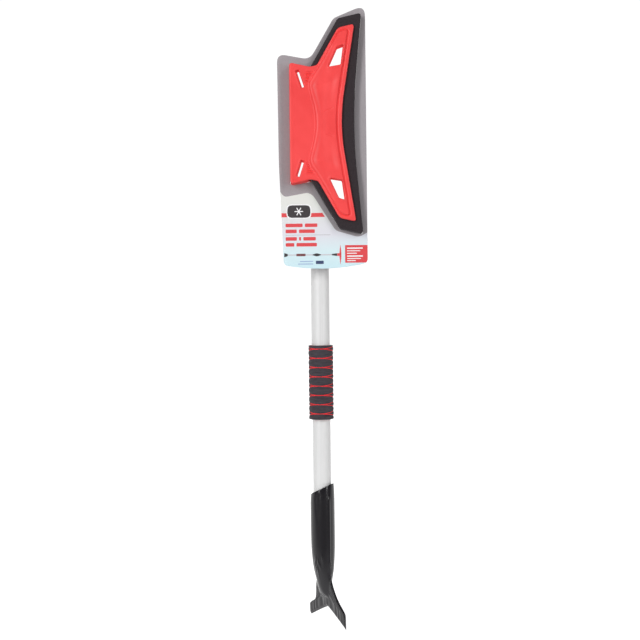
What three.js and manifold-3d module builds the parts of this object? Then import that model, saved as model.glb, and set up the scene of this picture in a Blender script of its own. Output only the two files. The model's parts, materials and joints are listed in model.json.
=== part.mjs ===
// Telescopic snow brush with a folding foam head, a locking pole and an ice scraper at the handle end.
// Millimetres, +Z up along the pole. The origin is on the pole's axis at the middle of the hand grip,
// -Y is the head's front face, and +X is the working edge of its foam.
import * as THREE from 'three';
import { mergeVertices } from 'three/addons/utils/BufferGeometryUtils.js';
import Module from 'manifold-3d';

// ---- Driving dimensions ----
const gap = 0.3; // between pieces that touch or are cut by each other
const roundSteps = 32; // sides of a large round piece
const smallSteps = 14; // sides of a pin, screw or rivet

const pivotZ = 392; // the head's hinge above the middle of the grip
const poleTravel = 382; // how far the pole extends

const outerTube = { radius: 14, wall: 1.3, bottom: -276, top: 262 };
const innerTube = { radius: 11, wall: 1.2, bottom: -194, top: pivotZ - 38 };
const grip = { halfLength: 57, layerRadius: 16.6, radius: 19.3, endRound: 2.2 };
const lock = { bottom: 186, split: 238, top: 292, endRadius: 15.6, radius: 19.4, threadRadius: 16.2 };
const bushLength = 20; // the glide on the inner tube's lower end

const scraper = { turn: -57.6, mouthRise: [0.39, 0.3], arch: 24 }; // the rise is per mm of its own X and Y

const ear = { radius: 16, inner: 10, web: 13, outer: 18.5 }; // the neck's fork, measured along X
const pin = { radius: 3.5, headRadius: 6, headDepth: 2.2, end: 15.4 };
const knuckle = { radius: 14, half: 9.6, webHalf: 11 };
const button = { flangeRadius: 9.2, radius: 7.6, bore: 6.3, foot: 16.3, face: 21.2 };

// Head layers: distances in front of the hinge axis
const backFace = 22;
const backDepth = 4;
const foamDepth = 17.4;
const frontFace = 44;
const frontDepth = 4;
const reliefDepth = 3.4;
const cardFace = 30;
const cardDepth = 1;

// ---- Head outlines: [x, z, corner cut], upper half only, z measured from the hinge ----
const plateHalf = [
  [31.6, 0, 49], [55.6, 148.6, 6], [30.6, 142.9, 6], [-1.2, 87, 3], [-12, 84.6, 3], [-43, 91.5, 6],
];
const foamHalf = [[54.3, 0, 0], [54.9, 42, 18], [66.2, 166.8, 6], [30.6, 158.4, 3], [-13.9, 80.7, 1]];
const envelopeHalf = [
  [54.3, 0, 0], [54.9, 42, 18], [66.2, 166.8, 6], [30.6, 158.4, 3], [-11.2, 85.6, 2], [-43, 91.5, 6],
];
const reliefHalf = [
  [23.2, 0, 47], [45.6, 139.5, 5], [32.4, 136.4, 5], [4, 87.5, 3], [-14.4, 59, 9], [0, 0, 30],
];
const windowHole = [[38, 115.4, 1.5], [30, 112.6, 1.5], [17.2, 84.8, 1.5], [34.2, 87.6, 1.5]];
const slotEnds = [[-30.2, 78.6], [-22.8, 55.4]];
const slotWidth = 3.8;
const flare = 4; // how much larger the openings are in the back plate, all round
const wall = 2;
const spineBox = [[-15.6, -82, 1], [-15.6, 82, 1], [-41, 88.6, 4], [-41, -88.6, 4]];
const screwPlaces = [[-30, 28], [18, 48], [40.5, 131], [-30, -28], [18, -48], [40.5, -131]];
const screw = { radius: 1.75, headRadius: 3.6, headDepth: 2.2, boss: 4, hole: 2.05, length: 19 };

const cardCorners = [
  [72.8, 182, 18], [24.5, 162, 5], [-12, 99.6, 12], [-61.8, 109, 14],
  [-60.6, -60, 20], [-54.6, -212.5, 7], [8, -223, 56], [72.8, -210, 7],
];

// ---- Outlines ----
function between(a, b, distance) {
  const length = Math.hypot(b[0] - a[0], b[1] - a[1]);
  return [a[0] + ((b[0] - a[0]) * distance) / length, a[1] + ((b[1] - a[1]) * distance) / length];
}

// A closed path through corners, each rounded off by its cut distance.
function outline(corners, target = new THREE.Shape()) {
  corners.forEach((corner, i) => {
    const before = corners[(i + corners.length - 1) % corners.length];
    const after = corners[(i + 1) % corners.length];
    const start = between(corner, before, corner[2]);
    const end = between(corner, after, corner[2]);
    if (i === 0) target.moveTo(...start);
    else target.lineTo(...start);
    if (corner[2] > 0) target.quadraticCurveTo(corner[0], corner[1], ...end);
  });
  target.closePath();
  return target;
}

// The whole outline from its upper half. A first corner at z = 0 lies on the mirror line.
function mirrored(half) {
  const lower = half.filter(([, z]) => z > 0).map(([x, z, cut]) => [x, -z, cut]);
  return [...half, ...lower.reverse()];
}

// Corners moved outwards by a distance, or inwards when it is negative.
function grown(corners, distance) {
  const area = corners.reduce((sum, [x, z], i) => {
    const [x2, z2] = corners[(i + 1) % corners.length];
    return sum + x * z2 - x2 * z;
  }, 0);
  const side = Math.sign(area) * distance;
  return corners.map((corner, i) => {
    const before = corners[(i + corners.length - 1) % corners.length];
    const after = corners[(i + 1) % corners.length];
    const a = between([0, 0], [corner[0] - before[0], corner[1] - before[1]], 1);
    const b = between([0, 0], [after[0] - corner[0], after[1] - corner[1]], 1);
    const reach = side / (1 + a[0] * b[0] + a[1] * b[1]);
    return [corner[0] + (a[1] + b[1]) * reach, corner[1] - (a[0] + b[0]) * reach, corner[2]];
  });
}

const flipped = (corners) => corners.map(([x, z, cut]) => [x, -z, cut]).reverse();

function slotCorners(margin) {
  const [a, b] = slotEnds;
  const half = slotWidth / 2 + margin;
  const along = between([0, 0], [b[0] - a[0], b[1] - a[1]], half);
  const across = [-along[1], along[0]];
  return [
    [a[0] - along[0] + across[0], a[1] - along[1] + across[1], half * 0.8],
    [a[0] - along[0] - across[0], a[1] - along[1] - across[1], half * 0.8],
    [b[0] + along[0] - across[0], b[1] + along[1] - across[1], half * 0.8],
    [b[0] + along[0] + across[0], b[1] + along[1] + across[1], half * 0.8],
  ];
}

// ---- Solids ----
const wasm = await Module();
wasm.setup();

// Welded triangles of a geometry, without the empty ones at a pole.
function welded(geometry) {
  const bare = geometry.clone();
  bare.deleteAttribute('normal');
  bare.deleteAttribute('uv');
  const merged = mergeVertices(bare, 1e-4);
  const index = merged.index.array;
  const kept = [];
  for (let i = 0; i < index.length; i += 3) {
    const [a, b, c] = index.subarray(i, i + 3);
    if (a !== b && b !== c && c !== a) kept.push(a, b, c);
  }
  merged.setIndex(kept);
  return merged;
}

function solid(geometry) {
  const mesh = welded(geometry);
  return new wasm.Manifold(new wasm.Mesh({
    numProp: 3,
    vertProperties: new Float32Array(mesh.attributes.position.array),
    triVerts: new Uint32Array(mesh.index.array),
  }));
}

function geometryOf(manifold) {
  const { vertProperties, triVerts } = manifold.getMesh();
  const geometry = new THREE.BufferGeometry();
  geometry.setAttribute('position', new THREE.BufferAttribute(vertProperties, 3));
  geometry.setIndex(new THREE.BufferAttribute(triVerts, 1));
  geometry.computeVertexNormals();
  return geometry;
}

const joined = (...pieces) => pieces.reduce((all, piece) => all.add(piece));
const without = (piece, ...cuts) => cuts.reduce((rest, cut) => rest.subtract(cut), piece);

// A turned piece about Z from [radius, z] points that run anticlockwise in that plane.
function turned(profile, steps = roundSteps) {
  const points = [...profile, profile[0]].map(([radius, z]) => new THREE.Vector2(radius, z));
  return new THREE.LatheGeometry(points, steps).rotateX(Math.PI / 2);
}

const sleeve = (inner, outer, bottom, top, steps) =>
  turned([[inner, bottom], [outer, bottom], [outer, top], [inner, top]], steps);

// A sleeve whose outer edges are rounded by quarter circles.
function roundedSleeve(inner, outer, bottom, top, round) {
  const corner = (z, from) => [0, 1, 2, 3].map((i) => {
    const angle = from + (i * Math.PI) / 6;
    return [outer - round + round * Math.cos(angle), z + round * Math.sin(angle)];
  });
  const lower = corner(bottom + round, -Math.PI / 2);
  const upper = corner(top - round, 0);
  return turned([[inner, bottom], ...lower, ...upper, [inner, top]]);
}

const rod = (radius, bottom, top, steps = smallSteps) =>
  turned([[0, bottom], [radius, bottom], [radius, top], [0, top]], steps);

// Z becomes X, for what is turned about the hinge axis, placed at the hinge.
const onHinge = (geometry) => geometry.rotateY(Math.PI / 2).translate(0, 0, pivotZ);

const block = (low, high) => new THREE.BoxGeometry(high[0] - low[0], high[1] - low[1], high[2] - low[2])
  .translate((low[0] + high[0]) / 2, (low[1] + high[1]) / 2, (low[2] + high[2]) / 2);

// A head layer: an outline extruded forwards from a distance in front of the hinge axis.
function layer(shape, from, depth, bevel = 0) {
  const geometry = new THREE.ExtrudeGeometry(shape, {
    depth: depth - 2 * bevel, curveSegments: 5, bevelEnabled: bevel > 0,
    bevelThickness: bevel, bevelSize: bevel, bevelOffset: -bevel, bevelSegments: 2,
  });
  return geometry.translate(0, 0, from + bevel).rotateX(Math.PI / 2).translate(0, 0, pivotZ);
}

// A layer's flat rim around corners, from one margin to another.
function rim(corners, innerMargin, outerMargin, from, depth) {
  const shape = outline(grown(corners, outerMargin));
  shape.holes.push(outline(grown(corners, innerMargin), new THREE.Path()));
  return layer(shape, from, depth);
}

// A closed skin over rings of points. Its ends are closed across each ring, from side to side.
function lofted(rings) {
  const count = rings[0].length;
  const index = [];
  for (let i = 0; i + 1 < rings.length; i += 1) {
    for (let j = 0; j < count; j += 1) {
      const k = (j + 1) % count;
      const [a, b, c, d] = [i * count + j, i * count + k, (i + 1) * count + k, (i + 1) * count + j];
      index.push(a, b, c, a, c, d);
    }
  }
  const last = (rings.length - 1) * count;
  for (let j = 0; j < count / 2; j += 1) {
    const [a, b] = [j, j + 1];
    const [c, d] = [count - j - 1, (count - j) % count];
    index.push(a, c, b, a, d, c);
    index.push(last + a, last + b, last + c, last + a, last + c, last + d);
  }
  const geometry = new THREE.BufferGeometry();
  geometry.setAttribute('position', new THREE.Float32BufferAttribute(rings.flat(2), 3));
  geometry.setIndex(index);
  return geometry;
}

// ---- Pole ----
const makeOuterTube = () => without(
  solid(sleeve(outerTube.radius - outerTube.wall, outerTube.radius, outerTube.bottom, outerTube.top)),
  solid(rivetHole(scraperRivet)),
);

const makeInnerTube = () => without(
  solid(sleeve(innerTube.radius - innerTube.wall, innerTube.radius, innerTube.bottom, innerTube.top)),
  solid(rivetHole(neckRivet)),
);

// The glide snaps on the inner tube's lower end and runs in the outer tube.
function makeGlide() {
  const bottom = innerTube.bottom - 6;
  const bore = innerTube.radius + gap;
  const outer = outerTube.radius - outerTube.wall - gap;
  return turned([
    [innerTube.radius - 3, bottom], [outer - 0.6, bottom], [outer, bottom + 1.5],
    [outer, bottom + bushLength], [bore, bottom + bushLength],
    [bore, innerTube.bottom - gap], [innerTube.radius - 3, innerTube.bottom - gap],
  ]);
}

// The guide is pressed in the outer tube's upper end, where the glide stops against it.
function makeGuide() {
  const bottom = innerTube.bottom - 6 + bushLength + poleTravel + gap;
  return sleeve(innerTube.radius + gap, outerTube.radius - outerTube.wall - gap, bottom, outerTube.top);
}

// ---- Rivets: heads and shanks along +Y, at a height ----
const scraperRivet = { z: -214, start: 11.2, seat: 18.9 };
const neckRivet = { z: 324, start: 8.4, seat: 14.9 };
const rivet = { radius: 1.6, headRadius: 3.4, headDepth: 1.5 };

const alongY = (geometry, z) => geometry.rotateX(-Math.PI / 2).translate(0, 0, z);

const rivetHole = ({ z, seat }) => alongY(rod(rivet.radius + gap, 0, seat + 6), z);

function makeRivet({ z, start, seat }) {
  const { radius, headRadius, headDepth } = rivet;
  return alongY(turned([
    [0, start], [radius, start], [radius, seat + gap], [headRadius, seat + gap],
    [headRadius * 0.8, seat + gap + headDepth * 0.7], [0, seat + gap + headDepth],
  ], smallSteps), z);
}

// ---- Hand grip: a dark foam sleeve over a red one ----
const makeGripLayer = () => sleeve(
  outerTube.radius + gap, grip.layerRadius, -grip.halfLength + 1, grip.halfLength - 1,
);

const makeGripFoam = () => roundedSleeve(
  grip.layerRadius + gap, grip.radius, -grip.halfLength, grip.halfLength, grip.endRound,
);

// ---- Twist lock ----
// The lens-shaped outside radius of the lock at a height.
function lockRadius(z) {
  const middle = (lock.bottom + lock.top) / 2;
  const away = (z - middle) / ((lock.top - lock.bottom) / 2);
  return lock.radius - (lock.radius - lock.endRadius) * away * away;
}

const lockSide = (from, to, count) => Array.from({ length: count + 1 }, (_, i) => {
  const z = from + ((to - from) * i) / count;
  return [lockRadius(z), z];
});

function makeLockBody() {
  const seat = outerTube.top + gap;
  return turned([
    [outerTube.radius + gap, lock.bottom], ...lockSide(lock.bottom, lock.split, 6),
    [lock.threadRadius, lock.split], [lock.threadRadius, seat + 3],
    [innerTube.radius + gap, seat + 3], [innerTube.radius + gap, seat], [outerTube.radius + gap, seat],
  ]);
}

// A tapered ring with a slit, squeezed on to the inner tube.
function makeCollet() {
  const bottom = outerTube.top + 4;
  const top = lock.top - 5;
  const ring = solid(turned([
    [innerTube.radius + gap, bottom], [15.2, bottom], [15.2, bottom + 5],
    [12.9, top], [innerTube.radius + gap, top],
  ]));
  return without(ring, solid(block([0, -1, bottom - 1], [20, 1, top + 1])));
}

function makeLockNut() {
  const bottom = lock.split + 0.5;
  const shell = solid(turned([
    [lock.threadRadius + gap, bottom], ...lockSide(bottom, lock.top, 6),
    [innerTube.radius + gap + 0.3, lock.top], [innerTube.radius + gap + 0.3, lock.top - 4],
    [13.3, lock.top - 5], [15.6, outerTube.top + 8], [lock.threadRadius + gap, outerTube.top + 6],
  ]));
  const flutes = Array.from({ length: 10 }, (_, i) => {
    const angle = (i * Math.PI) / 5;
    const flute = new THREE.CylinderGeometry(2.4, 2.4, 36, 10).rotateX(Math.PI / 2);
    return solid(flute.translate(
      (lock.radius + 1.1) * Math.cos(angle), (lock.radius + 1.1) * Math.sin(angle), lock.split + 26,
    ));
  });
  return without(shell, ...flutes);
}

// ---- Scraper: a round core that thins out into a wide blade ----
// Down from the mouth: [z, near half width, far half width, core half width, core half thickness,
// blade half thickness, bend, share of the arch]
const scraperSections = [
  [-166, 18.2, 18.2, 18.2, 18.2, 0.5, 0, 0], [-186, 19, 19, 19, 18.8, 0.5, 0.2, 0],
  [-252, 18.8, 18.8, 18.8, 18.5, 0.8, 0.5, 0], [-270, 18.3, 18.3, 18.3, 17.4, 1.2, 0.8, 0],
  [-285, 17.8, 17.8, 17.8, 15.6, 1.8, 1.2, 0], [-298, 17.6, 17.6, 17, 13.2, 2.4, 1.6, 0],
  [-310, 20.6, 20.4, 16, 11, 2.8, 2.2, 0.05], [-322, 25.6, 24, 15, 9.6, 2.9, 3.4, 0.15],
  [-334, 33, 26.6, 14, 8.2, 2.9, 4.8, 0.35], [-344, 42.5, 31.4, 13, 6.4, 2.8, 6, 0.62],
  [-351, 49, 43.6, 12, 5, 2.6, 6.6, 0.8], [-356, 49.8, 49.4, 11, 4, 2.4, 6.8, 0.88],
  [-366, 49.8, 49.6, 10, 2.6, 2, 7.1, 0.97], [-373, 49.3, 49.3, 8, 0.9, 0.8, 7.4, 1],
];

function scraperRing([z, near, far, coreWidth, coreDepth, edge, bend, arch], rise = [0, 0]) {
  const count = 48;
  return Array.from({ length: count }, (_, i) => {
    const angle = (2 * Math.PI * i) / count;
    const across = Math.cos(angle);
    const x = across * (across > 0 ? near : far);
    const core = coreDepth * Math.sqrt(Math.max(0, 1 - (x / coreWidth) ** 2));
    const blade = edge * (1 - Math.abs(across) ** 7) ** (1 / 7);
    const y = Math.sign(Math.sin(angle)) * Math.max(core, blade) + bend;
    const lift = scraper.arch * arch * (1 - Math.abs(across) ** 1.1);
    return [x, y, z + lift + rise[0] * x + rise[1] * y];
  });
}

function makeScraper() {
  const rings = scraperSections.map((section, i) =>
    scraperRing(section, i === 0 ? scraper.mouthRise : undefined));
  const turn = (scraper.turn * Math.PI) / 180;
  const shell = solid(lofted(rings.reverse()).rotateZ(turn));
  const socket = rod(outerTube.radius + gap, outerTube.bottom - gap, 0, roundSteps);
  return without(shell, solid(socket), solid(rivetHole(scraperRivet)));
}

// ---- Neck: a tapered socket that ends in a fork for the head's knuckle ----
// A ring of points between an ellipse, squareness 2, and a rectangle.
function squareRing(z, halfWidth, halfDepth, squareness) {
  const count = 36;
  const power = 2 / squareness;
  return Array.from({ length: count }, (_, i) => {
    const [x, y] = [Math.cos((2 * Math.PI * i) / count), Math.sin((2 * Math.PI * i) / count)];
    const across = Math.sign(x) * Math.abs(x) ** power;
    const through = Math.sign(y) * Math.abs(y) ** power;
    return [halfWidth * across, halfDepth * through, z];
  });
}

function makeNeck() {
  const bottom = pivotZ - 95;
  const waist = pivotZ - 40;
  const taper = solid(lofted([
    squareRing(bottom, 13.6, 13.6, 2), squareRing(bottom + 26, 14.6, 14.4, 2),
    squareRing(waist, 16.6, 15, 2.3), squareRing(pivotZ - 22, ear.outer, 15.4, 3.2),
    squareRing(pivotZ, ear.outer, 15.4, 5),
  ]));
  const boss = solid(onHinge(rod(ear.radius, -ear.outer, ear.outer, roundSteps)));
  const slot = solid(block([-ear.inner, -30, pivotZ - 17.6], [ear.inner, 30, pivotZ + 30]));
  const socket = solid(rod(innerTube.radius + gap, bottom - 1, innerTube.top + gap, roundSteps));
  const hole = solid(onHinge(rod(pin.radius + gap, -30, 30)));
  const headSeat = solid(onHinge(rod(pin.headRadius + gap, -30, -ear.outer + pin.headDepth + gap)));
  const buttonWell = solid(onHinge(rod(button.flangeRadius + 0.5, ear.web, 30, roundSteps)));
  return without(joined(taper, boss), slot, socket, hole, headSeat, buttonWell, solid(rivetHole(neckRivet)));
}

// ---- Hinge ----
function makePin() {
  const left = -ear.outer + 0.1;
  return onHinge(turned([
    [0, left], [pin.headRadius, left], [pin.headRadius, left + pin.headDepth],
    [pin.radius, left + pin.headDepth], [pin.radius, pin.end], [0, pin.end],
  ], smallSteps));
}

const makeRetainer = () =>
  onHinge(sleeve(pin.radius + 0.15, pin.radius + 1.3, ear.web + gap, ear.web + 1.6, smallSteps));

function makeButton() {
  return onHinge(turned([
    [button.bore, button.foot], [button.flangeRadius, button.foot],
    [button.flangeRadius, button.foot + 0.7], [button.radius, button.foot + 0.7],
    [button.radius, button.face - 0.9], [button.radius - 0.9, button.face], [0, button.face],
    [0, button.face - 1.6], [button.bore, button.face - 1.6],
  ]));
}

const makeButtonRing = () => onHinge(
  sleeve(button.radius + gap, button.flangeRadius + 0.2, button.foot + 1, ear.outer),
);

function makeSpring() {
  const wire = 0.4;
  const radius = 5.6;
  const start = ear.web + gap + wire;
  const length = button.face - 1.6 - gap - wire - start;
  const turns = 3;
  const helix = new THREE.CatmullRomCurve3(Array.from({ length: turns * 12 + 1 }, (_, i) => {
    const angle = (i * Math.PI) / 6;
    const along = start + (length * i) / (turns * 12);
    return new THREE.Vector3(radius * Math.cos(angle), radius * Math.sin(angle), along);
  }));
  const section = new THREE.Shape();
  section.absarc(0, 0, wire, 0, 2 * Math.PI);
  return onHinge(new THREE.ExtrudeGeometry(section, {
    steps: turns * 12, extrudePath: helix, curveSegments: 3,
  }));
}

// ---- Head ----
const headHoles = [windowHole, flipped(windowHole)];
const headSlots = [slotCorners(0), flipped(slotCorners(0))];

const flaredWindow = grown(windowHole, flare).map(([x, z]) => [x, z, flare]);
const flaredHoles = [flaredWindow, flipped(flaredWindow), slotCorners(flare), flipped(slotCorners(flare))];

const headRod = ([x, z], radius, from, to) =>
  rod(radius, from, to).rotateX(Math.PI / 2).translate(x, 0, pivotZ + z);

function makeBackPlate() {
  const reach = frontFace - gap - backFace;
  const plate = solid(layer(outline(mirrored(plateHalf)), backFace, backDepth));
  const spine = solid(rim(spineBox, -wall, 0, backFace + 1, reach - 1));
  const collars = flaredHoles.map((hole) => solid(rim(hole, 0, wall, backFace + 1, reach - 1)));
  const openings = flaredHoles.map((hole) => solid(layer(outline(hole), backFace - 1, reach + 2)));
  const barrel = solid(onHinge(rod(knuckle.radius, -knuckle.half, knuckle.half, roundSteps)));
  const web = solid(block(
    [-knuckle.half, -backFace - 1, pivotZ - knuckle.webHalf], [knuckle.half, 0, pivotZ + knuckle.webHalf],
  ));
  const bore = solid(onHinge(rod(pin.radius + gap, -30, 30)));
  const holes = screwPlaces.map((place) => solid(headRod(place, screw.hole, 0, 60)));
  const body = joined(plate, spine, ...collars, barrel, web);
  return without(body, ...openings, bore, ...holes);
}

function makeFoam() {
  const from = backFace + backDepth + gap;
  const shape = outline(mirrored(foamHalf));
  [flaredWindow, flipped(flaredWindow)].forEach((hole) => {
    shape.holes.push(outline(grown(hole, wall + gap), new THREE.Path()));
  });
  const bossHoles = screwPlaces.filter(([x]) => x > 0)
    .map((place) => solid(headRod(place, screw.boss + gap, 0, 60)));
  return without(solid(layer(shape, from, foamDepth - gap)), ...bossHoles);
}

function makeFrontPlate() {
  const plate = solid(layer(outline(mirrored(plateHalf)), frontFace, frontDepth, 1));
  const relief = outline(mirrored(reliefHalf));
  const raised = solid(layer(relief, frontFace + 1, frontDepth - 1 + reliefDepth, 1.4));
  const openings = [...headHoles, ...headSlots].map((hole) => solid(layer(outline(hole), frontFace - 1, 20)));
  const bosses = screwPlaces.map((place) =>
    solid(headRod(place, screw.boss, backFace + backDepth + gap, frontFace + 1)));
  const holes = screwPlaces.map((place) => solid(headRod(place, screw.hole, 0, frontFace + 1.5)));
  return without(joined(plate, raised, ...bosses), ...openings, ...holes);
}

function makeHeadScrew(place) {
  const seat = backFace - gap;
  return turned([
    [0, seat - screw.headDepth], [screw.headRadius * 0.75, seat - screw.headDepth],
    [screw.headRadius, seat - screw.headDepth * 0.4], [screw.headRadius, seat],
    [screw.radius, seat], [screw.radius, seat + screw.length], [0, seat + screw.length + 1.6],
  ], smallSteps).rotateX(Math.PI / 2).translate(place[0], 0, pivotZ + place[1]);
}

// ---- Retail card, cut out around the head ----
function makeCard() {
  const shape = outline(cardCorners);
  shape.holes.push(outline(grown(mirrored(envelopeHalf), 1), new THREE.Path()));
  return layer(shape, cardFace, cardDepth);
}

// ---- Finishes ----
const finish = (color, roughness, metalness = 0) =>
  new THREE.MeshStandardMaterial({ color, roughness, metalness });
const aluminium = finish('#d9dbdc', 0.35, 1);
const steel = finish('#b9bcc0', 0.3, 1);
const redPlastic = finish('#ee3f3c', 0.32);
const redFoam = finish('#d8282e', 0.85);
const darkFoam = finish('#4a464b', 0.9);
const blackFoam = finish('#3b3336', 0.92);
const blackPlastic = finish('#26242a', 0.25);
const greyPlastic = finish('#9a9a9c', 0.5);
const board = finish('#9a9193', 0.6);

// ---- Assembly ----
const tool = new THREE.Group();

function place(name, shape, material) {
  const geometry = shape.isBufferGeometry ? welded(shape) : geometryOf(shape);
  const mesh = new THREE.Mesh(geometry, material);
  mesh.name = name;
  tool.add(mesh);
}

place('outer_tube', makeOuterTube(), aluminium);
place('grip_underlayer', makeGripLayer(), redFoam);
place('grip_foam', makeGripFoam(), darkFoam);
place('scraper', makeScraper(), blackPlastic);
place('scraper_rivet', makeRivet(scraperRivet), steel);
place('lock_body', makeLockBody(), blackPlastic);
place('guide_bush', makeGuide(), greyPlastic);
place('collet', makeCollet(), greyPlastic);
place('lock_nut', makeLockNut(), blackPlastic);
place('glide_bush', makeGlide(), greyPlastic);
place('inner_tube', makeInnerTube(), aluminium);
place('neck_socket', makeNeck(), blackPlastic);
place('neck_rivet', makeRivet(neckRivet), steel);
place('pivot_pin', makePin(), steel);
place('pin_retainer', makeRetainer(), steel);
place('pivot_button', makeButton(), redPlastic);
place('button_ring', makeButtonRing(), blackPlastic);
place('button_spring', makeSpring(), steel);
place('back_plate', makeBackPlate(), redPlastic);
place('foam_blade', makeFoam(), blackFoam);
place('front_plate', makeFrontPlate(), redPlastic);
screwPlaces.forEach((spot, i) => place(`head_screw_${i + 1}`, makeHeadScrew(spot), steel));
place('retail_card', makeCard(), board);

export default tool;
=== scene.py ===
"""Looks of the telescopic snow brush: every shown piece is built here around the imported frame.

Lengths are in millimetres, in the frame's axes, until a mesh is written in metres.
"""

import json
import math

import bmesh
import bpy
import numpy as np
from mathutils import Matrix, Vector
from mathutils.geometry import delaunay_2d_cdt


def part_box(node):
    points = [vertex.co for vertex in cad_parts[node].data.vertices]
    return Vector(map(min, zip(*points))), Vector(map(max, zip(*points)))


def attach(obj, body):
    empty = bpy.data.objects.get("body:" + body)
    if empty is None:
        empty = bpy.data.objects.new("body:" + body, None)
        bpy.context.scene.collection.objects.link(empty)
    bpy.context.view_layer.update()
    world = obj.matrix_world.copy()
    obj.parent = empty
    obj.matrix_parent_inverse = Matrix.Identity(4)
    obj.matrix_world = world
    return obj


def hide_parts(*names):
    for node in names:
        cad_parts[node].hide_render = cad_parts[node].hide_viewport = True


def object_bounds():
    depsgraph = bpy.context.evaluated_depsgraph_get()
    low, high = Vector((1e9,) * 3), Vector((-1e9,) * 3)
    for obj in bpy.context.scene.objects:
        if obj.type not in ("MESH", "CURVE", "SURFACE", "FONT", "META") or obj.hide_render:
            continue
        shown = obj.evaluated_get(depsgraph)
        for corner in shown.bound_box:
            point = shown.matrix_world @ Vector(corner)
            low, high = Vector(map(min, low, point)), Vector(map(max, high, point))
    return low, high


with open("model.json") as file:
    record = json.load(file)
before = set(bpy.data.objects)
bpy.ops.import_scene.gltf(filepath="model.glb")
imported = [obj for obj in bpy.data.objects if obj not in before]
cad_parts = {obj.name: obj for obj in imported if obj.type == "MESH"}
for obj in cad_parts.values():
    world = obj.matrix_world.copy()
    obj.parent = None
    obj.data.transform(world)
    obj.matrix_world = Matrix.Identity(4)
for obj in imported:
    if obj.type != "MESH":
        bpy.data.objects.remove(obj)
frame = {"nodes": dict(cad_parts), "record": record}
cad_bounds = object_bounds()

MM = 0.001
RECORD = frame["record"]
PIVOT = next(joint for joint in RECORD["behaviour"]["joints"] if joint["name"] == "head_pivot")
HINGE_Z = PIVOT["pos_m"][2] / MM


def box_mm(node):
    """A CAD node's lowest and highest corners in millimetres."""
    low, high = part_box(node)
    return np.array(low) / MM, np.array(high) / MM


# ---- outlines


def rounded(corners, spacing=2.0, curve_steps=8):
    """A closed loop of points through corners (u, v, cut), each rounded off by its cut distance."""
    points = []
    count = len(corners)
    for i, corner in enumerate(corners):
        here = np.array(corner[:2], float)
        before = np.array(corners[i - 1][:2], float)
        after = np.array(corners[(i + 1) % count][:2], float)
        cut = max(corner[2], 1e-3)
        start = here + (before - here) * cut / np.linalg.norm(before - here)
        end = here + (after - here) * cut / np.linalg.norm(after - here)
        if cut > 0.05:
            steps = max(curve_steps, int(cut / spacing))
            t = np.linspace(0, 1, steps + 1)[:, None]
            points.extend((1 - t) ** 2 * start + 2 * t * (1 - t) * here + t**2 * end)
        else:
            points.append(here)
    return evened(np.array(points), spacing)


def evened(points, spacing):
    """The loop with points added on any stretch that is longer than the spacing."""
    out = []
    for a, b in zip(points, np.roll(points, -1, axis=0)):
        steps = max(1, int(math.ceil(np.linalg.norm(b - a) / spacing)))
        out.extend(a + (b - a) * k / steps for k in range(steps))
    return np.array(out)


def mirrored(half):
    """A whole outline from its upper half: [x, z, cut] above the hinge, then its mirror image below."""
    return half + [(x, -z, cut) for x, z, cut in reversed(half) if z > 0]


def grown(corners, margin):
    """Corners of an outline moved outwards by a margin, or inwards where it is negative."""
    out = []
    count = len(corners)
    points = [np.array(corner[:2], float) for corner in corners]
    turn = sum(np.cross(points[i - 1], points[i]) for i in range(count))
    side = math.copysign(margin, margin * turn) if margin else 0.0
    for i, corner in enumerate(corners):
        a = points[i] - points[i - 1]
        b = points[(i + 1) % count] - points[i]
        a, b = a / np.linalg.norm(a), b / np.linalg.norm(b)
        reach = side / (1 + float(a @ b))
        out.append((corner[0] + (a[1] + b[1]) * reach, corner[1] - (a[0] + b[0]) * reach, corner[2]))
    return out


def offset(loop, step):
    """A loop of points moved inwards by a step, or outwards where it is negative."""
    ahead = np.roll(loop, -1, axis=0) - np.roll(loop, 1, axis=0)
    normal = np.stack([-ahead[:, 1], ahead[:, 0]], axis=1)
    normal /= np.maximum(np.linalg.norm(normal, axis=1, keepdims=True), 1e-9)
    turn = np.sum(loop[:, 0] * np.roll(loop[:, 1], -1) - np.roll(loop[:, 0], -1) * loop[:, 1])
    return loop + normal * math.copysign(1, turn) * step


def inside(points, loop):
    """Which points lie in a closed loop."""
    x, y = points[:, 0][:, None], points[:, 1][:, None]
    a, b = loop, np.roll(loop, -1, axis=0)
    rise = b[:, 1] - a[:, 1]
    rise = np.where(np.abs(rise) < 1e-12, 1e-12, rise)
    at = a[:, 0] + (y - a[:, 1]) * (b[:, 0] - a[:, 0]) / rise
    crosses = (a[:, 1] > y) != (b[:, 1] > y)
    return (crosses & (x < at)).sum(axis=1) % 2 == 1


def distance(points, line, closed=True):
    """Distance from each point to a line of points."""
    a = line if closed else line[:-1]
    b = np.roll(line, -1, axis=0) if closed else line[1:]
    best = np.full(len(points), 1e9)
    along = b - a
    length2 = np.maximum((along**2).sum(axis=1), 1e-12)
    for start in range(0, len(points), 4000):
        p = points[start : start + 4000, None, :]
        t = np.clip(((p - a) * along).sum(axis=2) / length2, 0, 1)
        gap = p - (a + t[..., None] * along)
        best[start : start + 4000] = np.sqrt((gap**2).sum(axis=2)).min(axis=1)
    return best


def nearest(points, loops):
    """Distance from each point to the nearest of some closed loops."""
    return np.min([distance(points, loop) for loop in loops], axis=0)


def smooth(x):
    """A soft step from 0 at x = 0 to 1 at x = 1."""
    x = np.clip(x, 0, 1)
    return x * x * (3 - 2 * x)


def ridge(x, centre, width):
    """A rounded rib across x."""
    return np.exp(-(((x - centre) / width) ** 2))


def taper(x, z, width, left, right, cut):
    """Corners of a level bar from its left end's middle, with half its height at each end."""
    return [(x, z - left, cut), (x + width, z - right, cut), (x + width, z + right, cut), (x, z + left, cut)]


def bar(x, z, width, height, cut=None):
    """Corners of a level bar of one height."""
    cut = min(width, height) * 0.25 if cut is None else cut
    return taper(x, z, width, height / 2, height / 2, cut)


# ---- meshes


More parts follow.
